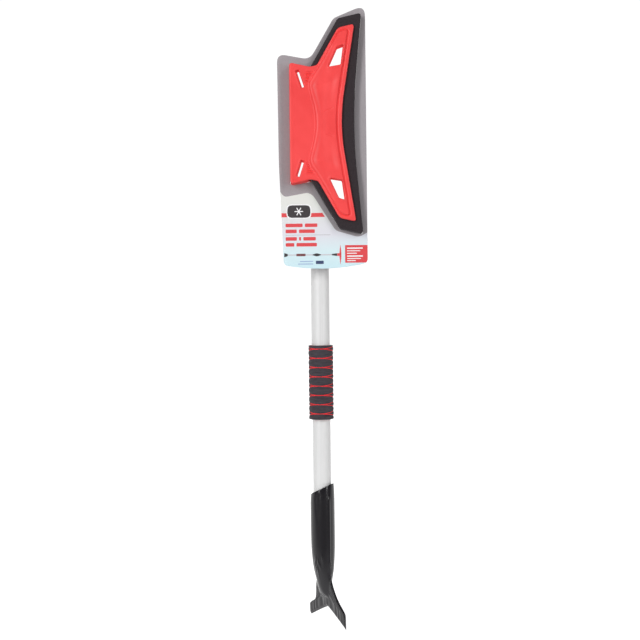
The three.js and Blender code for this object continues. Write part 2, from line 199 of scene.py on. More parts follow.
def new_object(name, data):
    """An object with its data, linked to the scene."""
    obj = bpy.data.objects.new(name, data)
    bpy.context.scene.collection.objects.link(obj)
    return obj


def mesh_object(name, vertices, faces):
    """An object from vertices in millimetres."""
    mesh = bpy.data.meshes.new(name)
    mesh.from_pydata([tuple(v) for v in np.asarray(vertices) * MM], [], [tuple(f) for f in faces])
    return new_object(name, mesh)


def piece(name, vertices, faces, materials, body, node, groups=None, sharp=35):
    """An object from vertices in millimetres that rides on a body and stands for a CAD node."""
    obj = mesh_object(name, vertices, faces)
    for material in materials:
        obj.data.materials.append(material)
    if groups is not None:
        obj.data.polygons.foreach_set("material_index", np.asarray(groups, dtype=np.int32))
    tidy(obj, sharp)
    stand_for(obj, body, node)
    return obj


def stand_for(obj, body, node):
    """The object rides on a body, in place of a CAD node, which is hidden."""
    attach(obj, body)
    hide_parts(node)


def tidy(obj, sharp=35):
    """Welds the mesh, points its faces outwards and shades it smooth between sharp edges."""
    bm = bmesh.new()
    bm.from_mesh(obj.data)
    bmesh.ops.remove_doubles(bm, verts=bm.verts, dist=1e-7)
    bmesh.ops.dissolve_degenerate(bm, edges=bm.edges, dist=1e-8)
    bmesh.ops.recalc_face_normals(bm, faces=bm.faces)
    for face in bm.faces:
        face.smooth = True
    bm.to_mesh(obj.data)
    bm.free()
    obj.data.set_sharp_from_angle(angle=math.radians(sharp))


def grid_faces(rows, columns, wrap_rows=False):
    """Quads between rows of points whose columns go round."""
    faces = []
    for i in range(rows if wrap_rows else rows - 1):
        j = np.arange(columns)
        k = (j + 1) % columns
        here, there = i * columns, ((i + 1) % rows) * columns
        faces.extend(np.stack([here + j, here + k, there + k, there + j], axis=1).tolist())
    return faces


def full_turn(steps):
    """Angles spread evenly round a full turn."""
    return np.linspace(0, 2 * np.pi, steps, endpoint=False)


def ring_points(radius, angle, z):
    """A ring of points about Z at a height."""
    return np.stack([radius * np.cos(angle), radius * np.sin(angle), np.full(len(angle), z)], axis=1)


def turned_mesh(corners, steps, spacing=4.0, shape=None, place=None):
    """Points and faces turned about Z from a section's rounded corners, (radius, z, cut).

    shape(radius, angle, z) may change the radius, and place(points) puts the result in its place.
    """
    profile = rounded(corners, spacing)
    profile[:, 0] = np.maximum(profile[:, 0], 0)
    angle = full_turn(steps)
    points = np.concatenate([ring_points(shape(radius, angle, z) if shape else radius, angle, z)
                             for radius, z in profile])
    return place(points) if place else points, grid_faces(len(profile), steps, True)


def turned(name, corners, materials, body, node, steps=96, **how):
    """A turned piece. How it is shaped and placed is said as for turned_mesh."""
    return piece(name, *turned_mesh(corners, steps, **how), materials, body, node)


def along_hinge(points):
    """Turned points with Z laid along the hinge's X axis."""
    return np.stack([points[:, 2], points[:, 1], -points[:, 0] + HINGE_Z], axis=1)


def head_axes(u, v, w):
    """(across, up from the hinge, forwards) to the frame's axes."""
    return np.stack([u, -w, v + HINGE_Z], axis=1)


def hinge_axes(u, v, w):
    """(backwards, up from the hinge, along the hinge) to the frame's axes."""
    return np.stack([w, u, v + HINGE_Z], axis=1)


def loop_edges(loops, start):
    """Edges round each loop, of points that are listed loop after loop from a start."""
    edges = []
    for loop in loops:
        edges.extend((start + k, start + (k + 1) % len(loop)) for k in range(len(loop)))
        start += len(loop)
    return edges


def face_grid(loops, lines, clear, spacing, extra):
    """Points spread inside the first loop, clear of all loops and lines, with the extra points."""
    low, high = loops[0].min(axis=0), loops[0].max(axis=0)
    across = np.arange(low[0], high[0], spacing)
    up = np.arange(low[1], high[1], spacing * 0.866)
    grid = np.array([(x + (j % 2) * spacing / 2, y) for j, y in enumerate(up) for x in across])
    if extra is not None:
        taken = {tuple(cell) for cell in np.floor(extra / spacing).astype(int)}
        free = [tuple(cell) not in taken for cell in np.floor(grid / spacing).astype(int)]
        grid = np.concatenate([grid[free], extra])
    grid = grid[inside(grid, loops[0])]
    keep = nearest(grid, loops) > clear + spacing * 0.45
    for line in lines:
        keep &= distance(grid, line) > spacing * 0.4
    return grid[keep]


def slab_mesh(outer, holes, front, back, axes, rounding=(1.0, 1.0), spacing=2.0, rings=(), lines=(),
              extra=None, wall_rows=3):
    """A slab between two height fields, with rounded rims: its vertices, faces and triangle middles.

    front(points) and back(points) give the two faces' heights. rings are more distances from the rim
    where the mesh gets points, lines are closed loops that faces don't cross, and extra is more points.
    """
    loops = [outer, *holes]
    widest = max(*rounding, 0.05)
    offsets = sorted({widest * share for share in (0.1, 0.35, 0.65, 1.0)} | set(rings))
    points = list(loops)
    for step in offsets:
        for i, loop in enumerate(loops):
            ring = offset(loop, step if i == 0 else -step)
            points.append(ring[(nearest(ring, loops) > step * 0.985) & inside(ring, outer)])
    points.append(face_grid(loops, lines, offsets[-1], spacing, extra))
    edges = loop_edges(loops, 0) + loop_edges(lines, sum(len(group) for group in points))
    points = [Vector(p) for p in np.concatenate([*points, *lines])]
    found, _, faces, origin, _, _ = delaunay_2d_cdt(points, edges, [], 0, 1e-6)
    plane = np.array([tuple(v) for v in found])
    triangles = np.array([face[:3] for face in faces])
    middles = plane[triangles].mean(axis=1)
    used = inside(middles, outer)
    for loop in holes:
        used &= ~inside(middles, loop)
    triangles = triangles[used]
    near = nearest(plane, loops)

    def sunk(radius):
        short = np.clip(radius - near, 0, radius)
        return radius - np.sqrt(np.maximum(radius * radius - short * short, 0))

    top = front(plane) - sunk(rounding[0])
    bottom = back(plane) + sunk(rounding[1])
    count = len(plane)
    vertices = [np.column_stack([plane, top]), np.column_stack([plane, bottom])]
    faces = triangles.tolist() + (triangles[:, ::-1] + count).tolist()
    total = 2 * count
    place_of = {source: new for new, sources in enumerate(origin) for source in sources}
    start = 0
    for loop in loops:
        ids = np.array([place_of[start + k] for k in range(len(loop))])
        start += len(loop)
        rows = [ids]
        for share in np.arange(1, wall_rows) / wall_rows:
            vertices.append(np.column_stack([plane[ids], top[ids] * (1 - share) + bottom[ids] * share]))
            rows.append(np.arange(total, total + len(ids)))
            total += len(ids)
        rows.append(ids + count)
        for a, b in zip(rows, rows[1:]):
            faces.extend(np.stack([a, b, np.roll(b, -1), np.roll(a, -1)], axis=1).tolist())
    vertices, faces = compacted(axes(*np.concatenate(vertices).T), faces)
    return vertices, faces, middles[used]


def wall_groups(faces, middles):
    """0 for the two faces of a slab and 1 for its walls."""
    groups = np.ones(len(faces), int)
    groups[: 2 * len(middles)] = 0
    return groups


def compacted(vertices, faces):
    """Vertices and faces without the vertices that no face uses."""
    kept = sorted({v for face in faces for v in face})
    renamed = {old: new for new, old in enumerate(kept)}
    return vertices[kept], [[renamed[v] for v in face] for face in faces]


def flat(height):
    """A face of constant height."""
    return lambda points: np.full(len(points), float(height))


def boolean(obj, other, operation):
    """Cuts or joins obj with another object, which is then removed."""
    modifier = obj.modifiers.new("cut", "BOOLEAN")
    modifier.operation = operation
    modifier.solver = "EXACT"
    modifier.object = other
    graph = bpy.context.evaluated_depsgraph_get()
    result = bpy.data.meshes.new_from_object(obj.evaluated_get(graph), depsgraph=graph)
    obj.modifiers.clear()
    obj.data = result
    bpy.data.objects.remove(other)


def loose(vertices, faces):
    """An object used only to cut or join another."""
    obj = mesh_object("tool", vertices, faces)
    tidy(obj)
    return obj


def turned_tool(corners, steps, place=None):
    return loose(*turned_mesh(corners, steps, place=place))


def rod_corners(radius, low, high, cut=0.0):
    return [(0, low, 0), (radius, low, cut), (radius, high, cut), (0, high, 0)]


# ---- materials


def fade_node(tree, source, start, end, low, high, kind="LINEAR"):
    """A value that goes from low to high while its source goes from start to end."""
    made = tree.nodes.new("ShaderNodeMapRange")
    made.interpolation_type = kind
    for key, value in zip(("From Min", "From Max", "To Min", "To Max"), (start, end, low, high)):
        made.inputs[key].default_value = value
    tree.links.new(source, made.inputs["Value"])
    return made.outputs["Result"]


class Look:
    """A Principled material whose colour, roughness and bump come from nodes."""

    def __init__(self, name, roughness, metallic=0.0, **constants):
        self.material = bpy.data.materials.new(name)
        self.material.use_nodes = True
        self.tree = self.material.node_tree
        self.shader = self.tree.nodes["Principled BSDF"]
        self.shader.inputs["Roughness"].default_value = roughness
        self.shader.inputs["Metallic"].default_value = metallic
        for key, value in constants.items():
            self.shader.inputs[key.replace("_", " ")].default_value = value
        self.place = self.tree.nodes.new("ShaderNodeTexCoord").outputs["Object"]

    def link(self, source, target):
        self.tree.links.new(source, target)

    def node(self, kind, **inputs):
        made = self.tree.nodes.new(kind)
        for key, value in inputs.items():
            made.inputs[key].default_value = value
        return made

    def placed(self, kind, **inputs):
        """A node that reads the place, in metres."""
        made = self.node(kind, **inputs)
        self.link(self.place, made.inputs["Vector"])
        return made

    def axis(self, name):
        return self.placed("ShaderNodeSeparateXYZ").outputs[name]

    def noise(self, scale, detail=3.0, roughness=0.5, stretch=(1, 1, 1)):
        made = self.node("ShaderNodeTexNoise", Scale=scale, Detail=detail, Roughness=roughness)
        self.link(self.placed("ShaderNodeMapping", Scale=stretch).outputs["Vector"], made.inputs["Vector"])
        return made.outputs["Fac"]

    def cells(self, scale):
        return self.placed("ShaderNodeTexVoronoi", Scale=scale).outputs["Distance"]

    def ramp(self, source, *stops):
        """Colours or greys at places along a source from 0 to 1."""
        made = self.node("ShaderNodeValToRGB")
        elements = made.color_ramp.elements
        while len(elements) < len(stops):
            elements.new(0.5)
        for element, (position, colour) in zip(elements, stops):
            element.position = position
            element.color = (*colour, 1) if isinstance(colour, tuple) else (colour, colour, colour, 1)
        self.link(source, made.inputs["Fac"])
        return made.outputs["Color"]

    def colour(self, source):
        self.link(source, self.shader.inputs["Base Color"])

    def rough(self, source, low, high):
        self.link(fade_node(self.tree, source, 0, 1, low, high), self.shader.inputs["Roughness"])

    def bump(self, *layers):
        """Layers of (height source, depth in millimetres)."""
        last = None
        for source, depth in layers:
            made = self.node("ShaderNodeBump", Strength=1.0, Distance=depth * MM)
            self.link(source, made.inputs["Height"])
            if last is not None:
                self.link(last, made.inputs["Normal"])
            last = made.outputs["Normal"]
        self.link(last, self.shader.inputs["Normal"])

    def finish(self, tone, dark, light, grain, rough, *layers):
        """Colour from dark to light over a tone, a range of roughness over a grain, then the bumps."""
        self.colour(self.ramp(tone, (0.3, dark), (0.7, light)))
        self.rough(grain, *rough)
        self.bump(*layers)
        return self.material


def red_plastic(name, low, high, coat):
    look = Look(name, low, Specular_IOR_Level=0.4, Coat_Weight=coat, Coat_Roughness=0.3)
    return look.finish(look.noise(28, 2), (0.82, 0.050, 0.050), (0.88, 0.064, 0.064),
                       look.noise(160, 4), (low, high),
                       (look.noise(2600, 3), 0.012), (look.noise(120, 2), 0.03))


def black_plastic():
    look = Look("black_plastic", 0.16, Specular_IOR_Level=0.34, Coat_Weight=0.12, Coat_Roughness=0.06)
    streak, wave = look.noise(90, 3, stretch=(1, 1, 0.12)), look.noise(60, 2, stretch=(1, 1, 0.2))
    return look.finish(streak, (0.006, 0.005, 0.007), (0.010, 0.009, 0.012),
                       look.noise(140, 4), (0.12, 0.22), (look.noise(1800, 3), 0.01), (wave, 0.06))


def grey_plastic():
    look = Look("grey_plastic", 0.5)
    return look.finish(look.noise(60, 3), (0.26, 0.26, 0.27), (0.34, 0.34, 0.35),
                       look.noise(300, 3), (0.42, 0.6), (look.noise(1500, 3), 0.02))


def foam(name, dark, light, scale=2600, pits=0.09, stretch=(1, 1, 1)):
    look = Look(name, 0.9, Specular_IOR_Level=0.2, Sheen_Weight=0.1, Sheen_Roughness=0.5)
    # Where the tone noise is stretched, as on the grip, its lighter streaks are a painted sheen.
    return look.finish(look.noise(scale * 0.35, 4, 0.65, stretch), dark, light,
                       look.noise(scale * 0.2, 3), (0.82, 0.97),
                       (look.cells(scale), pits), (look.noise(90, 3), 0.18))


def drawn_aluminium():
    look = Look("drawn_aluminium", 0.55, 0.15, Specular_IOR_Level=0.2)
    lines = look.noise(900, 4, 0.6, stretch=(1, 1, 0.004))
    return look.finish(lines, (0.68, 0.68, 0.68), (0.75, 0.75, 0.75),
                       look.noise(500, 3, stretch=(1, 1, 0.01)), (0.5, 0.62), (lines, 0.006))


def zinc_steel():
    look = Look("zinc_steel", 0.3, 1.0)
    return look.finish(look.noise(500, 3), (0.52, 0.53, 0.55), (0.66, 0.66, 0.67),
                       look.noise(900, 3), (0.22, 0.42), (look.noise(1400, 3), 0.01))


def card_look(name):
    return Look(name, 0.42, Coat_Weight=0.15, Coat_Roughness=0.3)


def print_on_card(name, low, high):
    """A printed area of the card, with paper grain and a fine mottle in its ink."""
    look = card_look(name)
    return look.finish(look.noise(1500, 2), low, high, look.noise(400, 3), (0.36, 0.5),
                       (look.noise(700, 3), 0.02))


def label_print():
    """The label's pale ground, which turns light blue towards the card's lower edge."""
    look = card_look("label_ground")
    fade = fade_node(look.tree, look.axis("Z"), (HINGE_Z - 222) * MM, (HINGE_Z - 120) * MM, 0, 1)
    look.colour(look.ramp(fade, (0.0, (0.57, 0.79, 0.86)), (0.3, (0.65, 0.80, 0.84)),
                          (0.55, (0.71, 0.71, 0.77)), (1.0, (0.72, 0.73, 0.70))))
    look.rough(look.noise(400, 3), 0.36, 0.5)
    look.bump((look.noise(700, 3), 0.02))
    return look.material


RED = red_plastic("red_plastic", 0.36, 0.48, 0.06)
RED_SIDES = red_plastic("red_plastic_textured", 0.92, 1.0, 0.0)
BLACK = black_plastic()
GREY = grey_plastic()
ALUMINIUM = drawn_aluminium()
STEEL = zinc_steel()
BLADE_FOAM = foam("blade_foam", (0.022, 0.016, 0.019), (0.038, 0.030, 0.034))
# The grip foam's colour noise is stretched into horizontal streaks of lighter tone: a painted sheen on the
# ribs.
GRIP_FOAM_PAINTED_SHEEN = foam("grip_foam_dark_painted_sheen", (0.030, 0.025, 0.032), (0.070, 0.062, 0.072), 2200, 0.07, (0.1, 0.1, 1))
RED_FOAM = foam("grip_foam_red", (0.82, 0.026, 0.036), (0.94, 0.040, 0.052), 2200, 0.07)

# ---- camera and light

VIEW_DISTANCE = 1.5
VIEW_HEIGHT = 0.096
VIEW_ASIDE = -0.0007
VIEW_WIDTH = 0.992  # the width in view at the pole
VIEW_ROLL = 0.011
SKY_BEHIND = 1.05
SKY_LEFT = 0.36
SKY_RIGHT = 0.2
FLOOR_FRONT = -0.38  # where the floor's painted shade is darkest, in front of the object
FLOOR_FAR = 0.66
FLOOR_SIZE = 12000
FLOOR_GAP = 2


def make_camera():
    data = bpy.data.cameras.new("camera")
    data.sensor_width = 36
    data.lens = data.sensor_width * VIEW_DISTANCE / VIEW_WIDTH
    camera = new_object("camera", data)
    camera.location = (VIEW_ASIDE, -VIEW_DISTANCE, VIEW_HEIGHT)
    camera.rotation_euler = (math.pi / 2, VIEW_ROLL, 0)
    bpy.context.scene.camera = camera


def area_light(name, place, target, size, power):
    data = bpy.data.lights.new(name, "AREA")
    data.shape = "RECTANGLE"
    data.size, data.size_y = size
    data.energy = power
    light = new_object(name, data)
    light.location = place
    light.rotation_euler = (Vector(target) - Vector(place)).to_track_quat("-Z", "Y").to_euler()


def make_sky():
    """A sky that is white behind the object and falls off from left to right elsewhere."""
    world = bpy.data.worlds.new("studio")
    world.use_nodes = True
    tree = world.node_tree
    place = tree.nodes.new("ShaderNodeTexCoord")
    axis = tree.nodes.new("ShaderNodeSeparateXYZ")
    tree.links.new(place.outputs["Generated"], axis.inputs["Vector"])
    sides = fade_node(tree, axis.outputs["X"], -0.9, 0.9, SKY_LEFT, SKY_RIGHT)
    behind = fade_node(tree, axis.outputs["Y"], 0.8, 0.9, 0, SKY_BEHIND, "SMOOTHSTEP")
    total = tree.nodes.new("ShaderNodeMath")
    total.operation = "MAXIMUM"
    tree.links.new(sides, total.inputs[0])
    tree.links.new(behind, total.inputs[1])
    tree.links.new(total.outputs["Value"], tree.nodes["Background"].inputs["Strength"])
    tree.nodes["Background"].inputs["Color"].default_value = (1, 1, 1, 1)
    bpy.context.scene.world = world


def make_floor():
    """A pale floor with painted light and shade: it glows behind the object, and painted shade makes it
    darker towards the viewer.
    """
    look = Look("pale_floor_painted_glow_and_shade", 0.75)
    fade = fade_node(look.tree, look.axis("Y"), FLOOR_FRONT, FLOOR_FAR, 0, 1)
    # Painted shade: the floor's colour is darker towards the viewer.
    look.colour(look.ramp(fade, (0.0, 0.5), (0.3, 0.94)))
    look.rough(look.noise(40, 2), 0.7, 0.85)
    # Painted light: the floor glows, more strongly further behind the object.
    look.link(look.ramp(fade, (0.0, 0.0), (0.3, 0.6), (1.0, 1.0)), look.shader.inputs["Emission Color"])
    look.shader.inputs["Emission Strength"].default_value = 1.0
    low = cad_bounds[0][2] / MM - FLOOR_GAP
    corners = [(x * FLOOR_SIZE, y * FLOOR_SIZE, low) for x, y in ((-1, -1), (1, -1), (1, 1), (-1, 1))]
    floor = mesh_object("floor", corners, [(0, 1, 2, 3)])
    floor.data.materials.append(look.material)


def make_studio():
    """A sky, a floor and two soft boxes, of which the left one is the stronger."""
    make_sky()
    make_floor()
    bpy.context.scene.view_settings.view_transform = "Standard"
    middle = (0, 0, 0.1)
    area_light("key", (-1.35, -1.85, 0.8), middle, (0.6, 2.2), 36)
    area_light("fill", (1.5, -1.65, 0.75), middle, (0.45, 2.1), 23)


# ---- pole


def make_tubes():
    for name, node, body, wall in (("pole_outer", "outer_tube", "pole_handle", 1.3),
                                   ("pole_inner", "inner_tube", "inner_pole", 1.2)):
        low, high = box_mm(node)
        outer, bore = high[0], high[0] - wall
        section = [(bore, low[2], 0.2), (outer, low[2], 0.4), (outer, high[2], 0.4), (bore, high[2], 0.2)]
        turned(name, section, [ALUMINIUM], body, node, steps=128, spacing=40)


GROOVES = 8
FIRST_GROOVE = 5.6  # the upper groove's distance from the grip's end
GROOVE_PITCH = 14.2
GROOVE_SWAY = GROOVE_PITCH * 0.235
GROOVE_DEPTH = 0.9
GROOVES_CROSS = math.radians(-100)  # where round the grip the two waves meet
RIB_SWELL = 0.6
RED_FROM = 0.35  # the share of a groove's depth from which the red foam shows


def make_grip():
    """Dark foam with pairs of wavy grooves that cross in front and show the red foam under it."""
    high = box_mm("grip_foam")[1]
    half, radius = high[2], high[0]
    layer = box_mm("grip_underlayer")[1][0]
    tube = box_mm("outer_tube")[1][0]
    end_round = 1.1
    steps = 240
    angle = full_turn(steps)
    swing = GROOVE_SWAY * (1 - np.cos(angle - GROOVES_CROSS))
    middles = half - FIRST_GROOVE - GROOVE_PITCH * np.arange(-1, GROOVES + 1)
    rows, reds = [], []

    def row(z, inset, at):
        away = [np.abs(at - middle + wave) for middle in middles for wave in (-swing, swing)]
        near = np.min(away, axis=0)
        depth = 1 - smooth((near - 0.2) / 0.6)
        swell = RIB_SWELL * (smooth(near / 4.5) - 1)
        rows.append(ring_points(radius + swell - GROOVE_DEPTH * depth - inset, angle, z))
        reds.append(depth > RED_FROM)

    def bore_row(z):
        rows.append(ring_points(layer + 0.15, angle, z))
        reds.append(np.zeros(steps, bool))

    straight = half - end_round
    curve = [(end_round * (1 - math.cos(turn)), end_round * (1 - math.sin(turn)))
             for turn in np.linspace(0, math.pi / 2, 6)]
    bore_row(-half + 0.5)
    for rise, inset in curve:
        row(-half + rise, inset, -straight)
    for z in np.linspace(-straight, straight, 420):
        row(z, 0.0, z)
    for rise, inset in reversed(curve):
        row(half - rise, inset, straight)
    bore_row(half - 0.5)
    grip = piece("hand_grip", np.concatenate(rows), grid_faces(len(rows), steps, True),
                 [GRIP_FOAM_PAINTED_SHEEN, RED_FOAM], "pole_handle", "grip_foam", groups=np.concatenate(reds), sharp=50)
    end, bore = half - 1.2, tube + 0.1
    section = [(bore, -end, 0.2), (layer, -end, 0.6), (layer, end, 0.6), (bore, end, 0.2)]
    lining = turned("grip_lining", section, [RED_FOAM], "pole_handle", "grip_underlayer", steps=128)


# ---- scraper

# Down from the mouth: (z, near half width, far half width, core half width, core half thickness,
# blade half thickness, bend, share of the arch)
SCRAPER = [
    (-166, 17.9, 17.9, 17.9, 17.9, 0.3, 0, 0), (-172, 18.4, 18.4, 18.4, 18.4, 0.3, 0.1, 0),
    (-186, 19, 19, 19, 18.8, 0.4, 0.2, 0), (-225, 19, 19, 19, 18.8, 0.5, 0.3, 0),
    (-252, 18.8, 18.8, 18.8, 18.5, 0.8, 0.5, 0), (-270, 18.3, 18.3, 18.3, 17.4, 1.2, 0.8, 0),
    (-285, 17.8, 17.8, 17.8, 15.6, 1.8, 1.2, 0), (-298, 17.6, 17.6, 17, 13.2, 2.4, 1.6, 0),
    (-310, 20.6, 20.4, 16, 11, 2.8, 2.2, 0.05), (-322, 25.6, 24, 15, 9.6, 2.9, 3.4, 0.15),
    (-334, 33, 26.6, 14, 8.2, 2.9, 4.8, 0.35), (-344, 42.5, 31.4, 13, 6.4, 2.8, 6, 0.62),
    (-351, 49, 43.6, 12, 5, 2.6, 6.6, 0.8), (-356, 49.8, 49.4, 11, 4, 2.4, 6.8, 0.88),
    (-362, 49.8, 49.6, 10, 3, 2.2, 7, 0.95), (-368, 49.8, 49.6, 9, 2.2, 2.1, 7.2, 0.98),
    (-373, 49.3, 49.3, 8, 0.5, 0.5, 8.6, 1),
]
# Moulded wrinkles on the front: (place round the body, top, length, lean)
WRINKLES = ((-0.42, -270, 30, 0.004), (-0.3, -263, 22, 0.004), (-0.22, -276, 34, 0.003),
            (-0.1, -268, 20, -0.002), (0.02, -274, 18, -0.004), (0.3, -260, 26, -0.002))
SCRAPER_TURN = math.radians(-57.6)
MOUTH_RISE = (0.39, 0.3)
SOCKET_DEPTH = 110
ARCH = 24


def curve_at(xs, ys, x):
    """A smooth curve through points that doesn't overshoot them."""
    slopes = np.diff(ys) / np.diff(xs)
    tangents = np.empty(len(xs))
    tangents[0], tangents[-1] = slopes[0], slopes[-1]
    product = slopes[:-1] * slopes[1:]
    mean = 2 * product / np.where(product > 0, slopes[:-1] + slopes[1:], 1)
    tangents[1:-1] = np.where(product > 0, mean, 0)
    i = int(np.clip(np.searchsorted(xs, x) - 1, 0, len(xs) - 2))
    h = xs[i + 1] - xs[i]
    t = (x - xs[i]) / h
    return ((1 + 2 * t) * (1 - t) ** 2 * ys[i] + t * (1 - t) ** 2 * h * tangents[i]
            + t * t * (3 - 2 * t) * ys[i + 1] + t * t * (t - 1) * h * tangents[i + 1])


def curves_at(table, x):
    """The other columns of a table where its first column would be x."""
    return [curve_at(table[:, 0], column, x) for column in table.T[1:]]


def scraper_detail(angle, z):
    """How far the round part's skin stands out: parting ridges, a thumb flute and wrinkles."""
    away = np.abs((angle + np.pi / 2) % np.pi - np.pi / 2)
    ridges = 0.9 * ridge(away, 0, 0.085) * smooth((-176 - z) / 12) * smooth((z + 312) / 20)
    front = (angle + math.radians(58) + np.pi) % (2 * np.pi) - np.pi
    flute = -0.8 * ridge(front, 0, 0.2) * smooth((z + 214) / 26) * smooth((-169 - z) / 6)
    wrinkles = 0
    for place, top, length, lean in WRINKLES:
        along = smooth((top - z) / 11) * smooth((z - top + length) / (length - 4))
        wrinkles = wrinkles + ridge(front, place + lean * (z - top), 0.07) * along
    return ridges + flute + 1.3 * wrinkles


def make_scraper():
    steps = 240
    angle = full_turn(steps)
    mouth, tip = SCRAPER[0][0], SCRAPER[-1][0]
    table = np.array(SCRAPER[::-1], float)
    tube = box_mm("outer_tube")[1][0]
    across, side = np.cos(angle), np.sign(np.round(np.sin(angle), 9))
    rows = []

    def row(z, inset=0.0, bore=None):
        near, far, core_width, core_depth, edge, bend, arch = curves_at(table, np.clip(z, tip, mouth))
        x = across * np.where(across > 0, near, far)
        melt = smooth((-290 - z) / 34)
        core = core_depth * np.maximum(0, 1 - (x / core_width / (1 + 0.35 * melt)) ** 2) ** (0.5 + melt)
        blade = edge * np.maximum(0, 1 - np.abs(across) ** 7) ** (1 / 7)
        fan = 0.3 * smooth((-315 - z) / 12) * smooth((z + 371) / 4) * (1 - across**6)
        blade = blade + fan * np.sin(31 * across + 1.5 * np.sin(9 * across))
        y = side * (core**4 + blade**4) ** 0.25
        grow = 1 + (scraper_detail(angle, z) - inset) / np.maximum(np.hypot(x, y), 1)
        x, y = x * grow, y * grow
        if bore is not None:
            x, y = bore * np.cos(angle), bore * np.sin(angle) - bend
        tilt = smooth((z + 196) / (mouth + 196))
        lift = ARCH * arch * (1 - np.abs(across) ** 1.1) + (MOUTH_RISE[0] * x + MOUTH_RISE[1] * y) * tilt
        rows.append(np.stack([x, y + bend, z + lift], axis=1))

    for z in np.concatenate([np.arange(tip, -300, 0.9), np.arange(-300, -240, 0.8),
                             np.arange(-240, -200, 2.0), np.arange(-200, mouth, 1.2)]):
        row(z)
    for turn in np.linspace(0, math.pi / 2, 6):
        row(mouth + 1.2 * math.sin(turn), 1.2 * (1 - math.cos(turn)))
    row(mouth + 1.2, bore=tube + 0.9)
    row(mouth + 0.4, bore=tube + 0.35)
    for z in np.arange(mouth - 6, mouth - SOCKET_DEPTH, -8):
        row(z, bore=tube + 0.2)
    points = np.concatenate(rows)
    faces = grid_faces(len(rows), steps)
    faces.append(list(range((len(rows) - 1) * steps, len(rows) * steps)))
    for j in range(steps // 2):
        faces.append([j, j + 1, steps - j - 1, (steps - j) % steps])
    c, s = math.cos(SCRAPER_TURN), math.sin(SCRAPER_TURN)
    points = points @ np.array([[c, s, 0], [-s, c, 0], [0, 0, 1]])
    piece("ice_scraper", points, faces, [BLACK], "pole_handle", "scraper", sharp=40)


# ---- twist lock

LENS_DROP = 3.8  # how much thinner the lens is at its ends


def make_lock():
    """A lens-shaped lock in two halves: a base on the outer tube and a ring that turns."""
    base_low, base_high = box_mm("lock_body")
    ring_low, ring_high = box_mm("lock_nut")
    bottom, mouth, radius = base_low[2], base_high[2], base_high[0]
    seam, top = ring_low[2], ring_high[2]
    split = seam - 0.5
    tube = box_mm("outer_tube")[1][0]
    inner = box_mm("inner_tube")[1][0]

    def lens(z):
        away = (z - (bottom + top) / 2) / ((top - bottom) / 2)
        return radius - LENS_DROP * away * away

    def side(start, end):
        return [(lens(z), z, 2.0) for z in np.linspace(start, end, 9)[1:-1]]

    def fluted(count, depth, start, end):
        def shape(r, angle, z):
            if r < lens(z) - 1.2:
                return np.full(len(angle), r)
            fade = float(smooth((z - start) / 7) * smooth((end - z) / 7))
            return r - depth * fade * np.maximum(0, np.cos(count * angle)) ** 3
        return shape

    section = [(tube + 0.15, bottom, 0.2), (lens(bottom), bottom, 1.2), *side(bottom, split),
               (lens(split), split, 0.5), (16.2, split, 0.1), (16.2, mouth, 0.8), (inner + 0.3, mouth, 0.3),
               (inner + 0.3, mouth - 3, 0), (tube + 0.15, mouth - 3, 0)]
    turned("lock_base", section, [BLACK], "pole_handle", "lock_body", steps=160, spacing=1.5,
           shape=fluted(12, 0.9, bottom + 8, split - 4))
    section = [(16.5, seam, 0.1), (lens(seam), seam, 0.5), *side(seam, top), (lens(top), top, 1.6),
               (inner + 0.6, top, 0.6), (inner + 0.6, top - 4, 0.1), (15.6, top - 22, 0.1),
               (16.5, top - 24, 0.1)]
    turned("lock_ring", section, [BLACK], "lock_nut", "lock_nut", steps=200, spacing=1.5,
           shape=fluted(10, 1.7, seam + 4, top - 8))


# ---- neck and hinge

EAR_RADIUS = 16
EAR_INNER = 10
EAR_OUTER = 18.5
PIN_HOLE = 3.8
PIN_HEAD_WELL = 6.3
BUTTON_WELL = 9.7
KNUCKLE_HALF = 9.6


